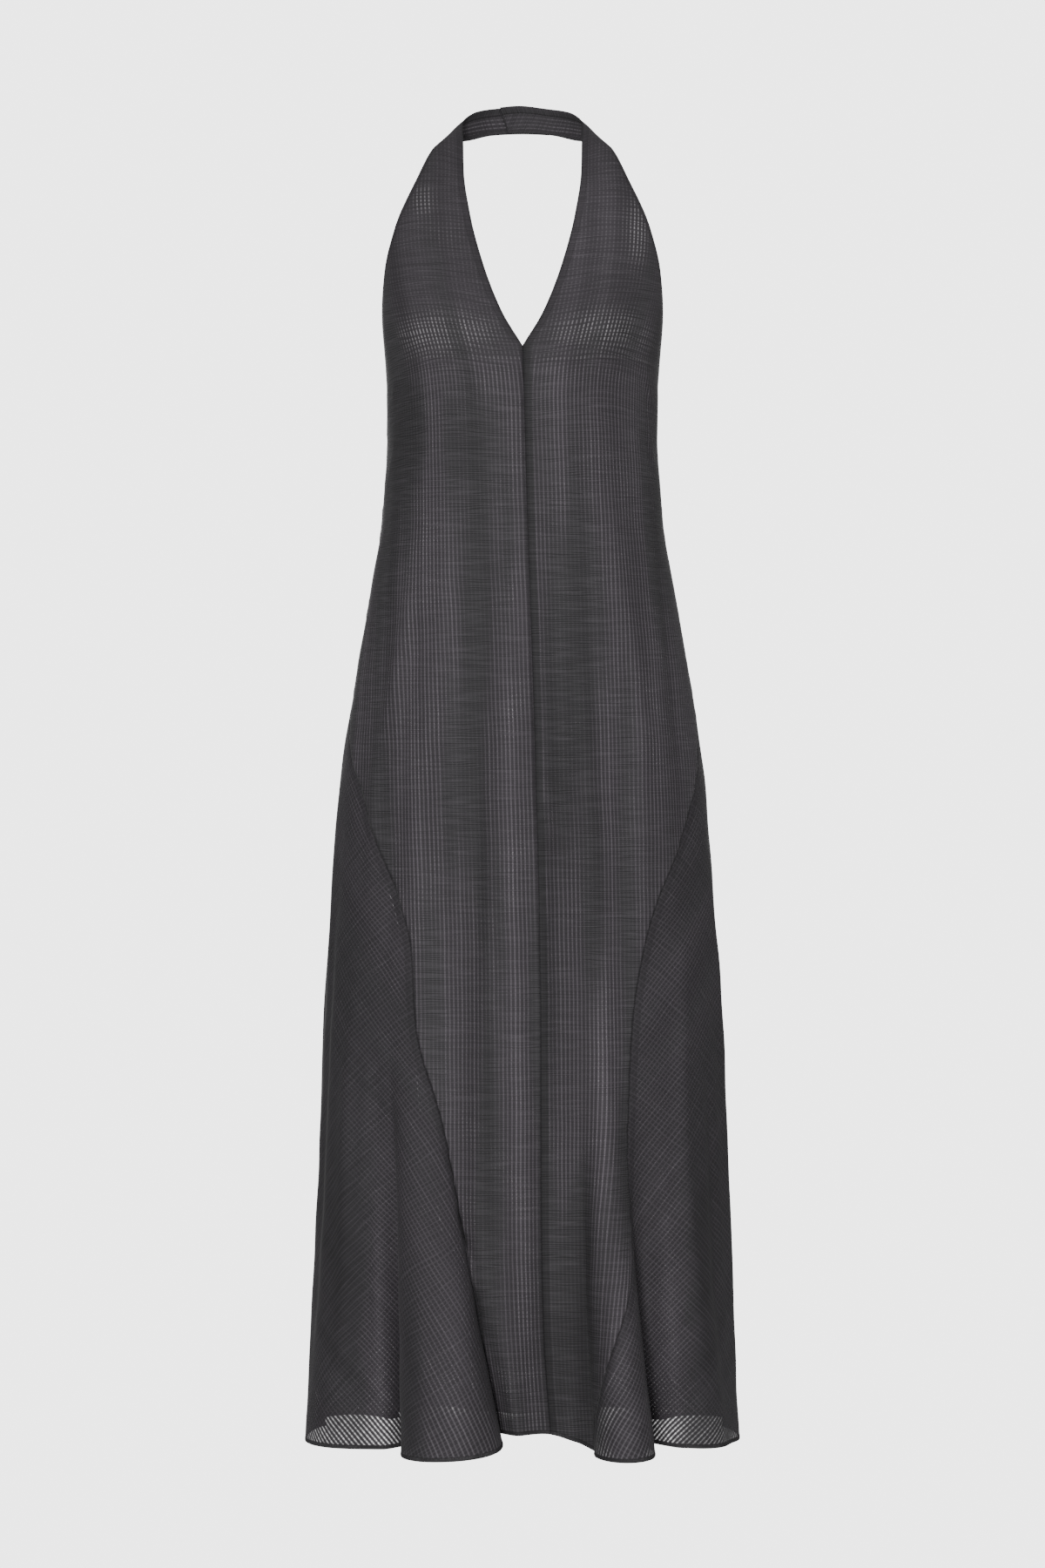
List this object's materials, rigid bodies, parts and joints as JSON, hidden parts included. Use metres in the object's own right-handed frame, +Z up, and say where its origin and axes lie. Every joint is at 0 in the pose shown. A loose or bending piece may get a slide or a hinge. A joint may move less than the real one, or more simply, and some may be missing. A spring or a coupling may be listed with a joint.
{
  "type": "halter dress",
  "caption": "Ankle-length halter dress in its worn form, deep V front with centre seam, bare back, bias godets with flutes at the hem and a lapped band at the nape.",
  "frame": {"origin": "on the inner face of the lapped band at the middle of the nape, where the wearer's neck holds the dress", "axes": "+Z up along the dress, -Y towards the front, +X to the viewer's right"},
  "size_m": [0.4473, 0.3437, 1.3855],
  "materials": {
    "cloth": "semi-sheer slubbed open weave with fine vertical lines, dull sheen",
    "bias_cloth": "the same weave cut on the bias",
    "doubled_cloth": "turned edges, two layers of the same cloth",
    "button": "dark, softly polished"
  },
  "bodies": {
    "root": {"front_left": "cloth", "front_right": "cloth", "back": "cloth", "godet_left": "bias_cloth", "godet_right": "bias_cloth", "neck_strip_left": "doubled_cloth", "neck_strip_right": "doubled_cloth", "armhole_strip_left": "doubled_cloth", "armhole_strip_right": "doubled_cloth", "back_strip": "doubled_cloth", "nape_button": "button"}
  },
  "joints": []
}
